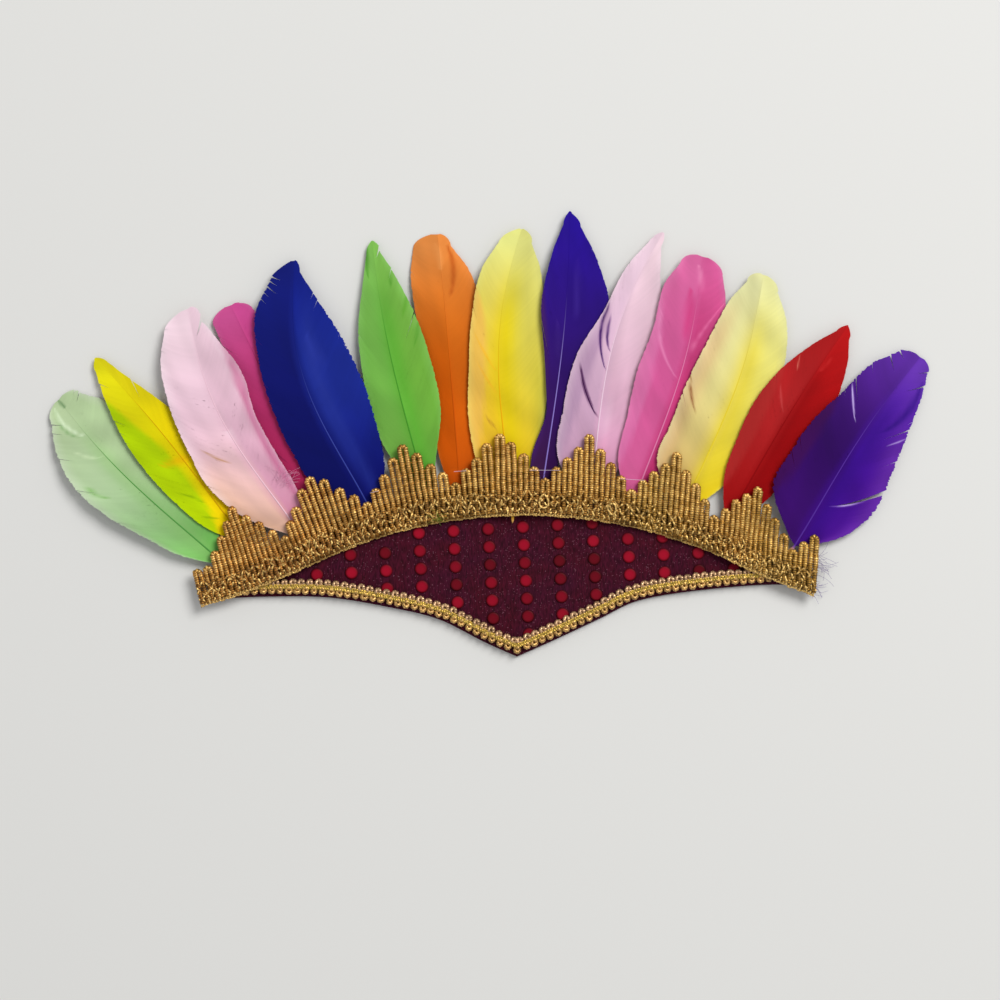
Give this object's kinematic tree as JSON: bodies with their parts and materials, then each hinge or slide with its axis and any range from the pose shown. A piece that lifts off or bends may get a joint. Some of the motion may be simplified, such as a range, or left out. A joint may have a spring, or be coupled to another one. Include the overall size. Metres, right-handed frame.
{
  "type": "carnival feather headdress",
  "caption": "Padded sequin headband with a pointed front edge, a row of dyed feathers, scalloped gold lace and a gold braid edge, lying on its flat back.",
  "frame": {"origin": "on the band's flat back face, at the middle of the band's front field, above the lower point", "axes": "+X along the band to the right of the front as seen, +Y up along the feathers, +Z out of the front"},
  "size_m": [0.4231, 0.2147, 0.0108],
  "materials": {
    "panel_cloth": "maroon glitter cloth with flat red sequins",
    "gold_lace": "twisted metallic gold cord",
    "gold_braid": "braided metallic gold cord",
    "feather_mint": "dyed feather, soft sheen",
    "feather_lime": "dyed feather, soft sheen",
    "feather_blush": "dyed feather, soft sheen",
    "feather_magenta": "dyed feather, soft sheen",
    "feather_blue": "dyed feather, soft sheen",
    "feather_green": "dyed feather, soft sheen",
    "feather_orange": "dyed feather, soft sheen",
    "feather_yellow": "dyed feather, soft sheen",
    "feather_violet": "dyed feather, soft sheen",
    "feather_pink": "dyed feather, soft sheen",
    "feather_rose": "dyed feather, soft sheen",
    "feather_cream": "dyed feather, soft sheen",
    "feather_red": "dyed feather, soft sheen",
    "feather_purple": "dyed feather, soft sheen"
  },
  "bodies": {
    "root": {"front_panel": "panel_cloth", "crown_lace": "gold_lace", "edge_gimp": "gold_braid", "feather_01_mint": "feather_mint", "feather_02_lime": "feather_lime", "feather_03_blush": "feather_blush", "feather_04_magenta": "feather_magenta", "feather_05_blue": "feather_blue", "feather_06_green": "feather_green", "feather_07_orange": "feather_orange", "feather_08_yellow": "feather_yellow", "feather_09_violet": "feather_violet", "feather_10_pink": "feather_pink", "feather_11_rose": "feather_rose", "feather_12_cream": "feather_cream", "feather_13_red": "feather_red", "feather_14_purple": "feather_purple"}
  },
  "joints": []
}
